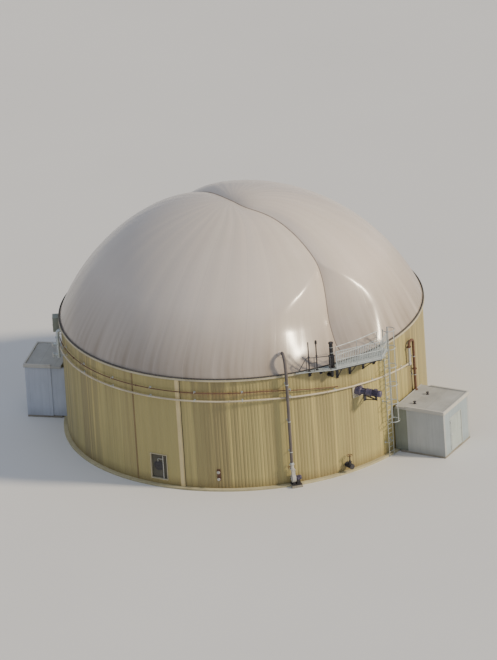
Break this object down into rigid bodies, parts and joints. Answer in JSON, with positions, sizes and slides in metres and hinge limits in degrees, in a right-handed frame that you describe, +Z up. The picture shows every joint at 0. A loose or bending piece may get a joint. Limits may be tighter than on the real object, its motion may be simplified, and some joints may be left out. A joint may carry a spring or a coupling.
{
  "type": "biogas digester tank with membrane roof",
  "caption": "Round metal-clad biogas digester with a two-lobed inflated membrane roof, service platform, caged ladder, agitator drive, gas pipework and pump sheds.",
  "frame": {"origin": "middle of the floor slab's underside, at ground level", "axes": "+Z up along the tank's axis; the picture looks along +Y with +X to the right"},
  "size_m": [26.8684, 22.5953, 14.3746],
  "materials": {
    "concrete": "grey-buff cast concrete, brushed",
    "cladding": "ochre coated trapezoidal sheet, weathered satin",
    "coping": "pale folded metal edging",
    "clamp": "dark clamping bar",
    "membrane": "warm grey coated fabric, satin",
    "strap": "dark webbing",
    "strip": "pale ochre cover strip",
    "joint": "dark joint profile",
    "pale_pipe": "pale painted pipe",
    "primer": "red-brown painted and rusting steel",
    "dark_steel": "dark painted steel",
    "galvanised": "dull galvanised steel",
    "pale_steel": "light grey painted steel",
    "hose": "dark ribbed hose",
    "motor": "dark blue-violet painted housing",
    "shed_wall": "grey rendered panel",
    "shed_roof": "grey roof sheet with a pale kerb",
    "shed_infill": "grey-green infill sheet",
    "door": "pale painted steel door"
  },
  "bodies": {
    "root": {"agitator_bracket": "pale_steel", "agitator_flange": "pale_steel", "agitator_motor": "motor", "air_line": "primer", "blind_flange_1": "pale_steel", "blind_flange_2": "pale_steel", "cladding_1": "cladding", "cladding_2": "cladding", "cladding_3": "cladding", "cladding_4": "cladding", "concrete_wall_1": "concrete", "concrete_wall_2": "concrete", "concrete_wall_3": "concrete", "concrete_wall_4": "concrete", "cover_strip": "strip", "drain_valve": "dark_steel", "floor_slab": "concrete", "gas_line": "pale_pipe", "gas_take_off": "galvanised", "instrument_cabinet": "shed_infill", "joint_strip": "joint", "ladder": "galvanised", "ladder_cage": "galvanised", "left_shed_door": "door", "left_shed_floor": "concrete", "left_shed_roof": "shed_roof", "left_shed_walls": "shed_wall", "loop_pipe": "primer", "loop_riser": "pale_steel", "manhole_cover": "dark_steel", "manhole_davit": "pale_steel", "manhole_frame": "pale_pipe", "membrane_clamp": "clamp", "membrane_roof": "membrane", "platform_deck": "galvanised", "platform_frame": "dark_steel", "platform_inner_rail": "galvanised", "platform_outer_rail": "galvanised", "relief_valve": "dark_steel", "right_shed_end_wall_far": "shed_wall", "right_shed_end_wall_near": "shed_wall", "right_shed_far_wall": "shed_wall", "right_shed_floor": "concrete", "right_shed_hinge": "galvanised", "right_shed_infill_far": "shed_infill", "right_shed_infill_near": "shed_infill", "right_shed_lintel": "shed_wall", "right_shed_near_wall": "shed_wall", "right_shed_roof": "shed_roof", "rim_coping": "coping", "sampling_stubs": "primer", "support_air_blower": "pale_steel", "support_air_hose": "hose", "valley_strap": "strap", "vent_pipes": "dark_steel", "walkway_deck": "galvanised", "walkway_frame": "dark_steel", "walkway_rail": "galvanised"},
    "right_shed_door": {"right_shed_door": "door"}
  },
  "joints": [
    {"name": "right_shed_door_hinge", "type": "hinge", "parent": "root", "child": "right_shed_door", "pos_m": [12.11633, -7.70238, 1.195], "axis": [0, 0, -1], "range_deg": [0, 100]}
  ]
}
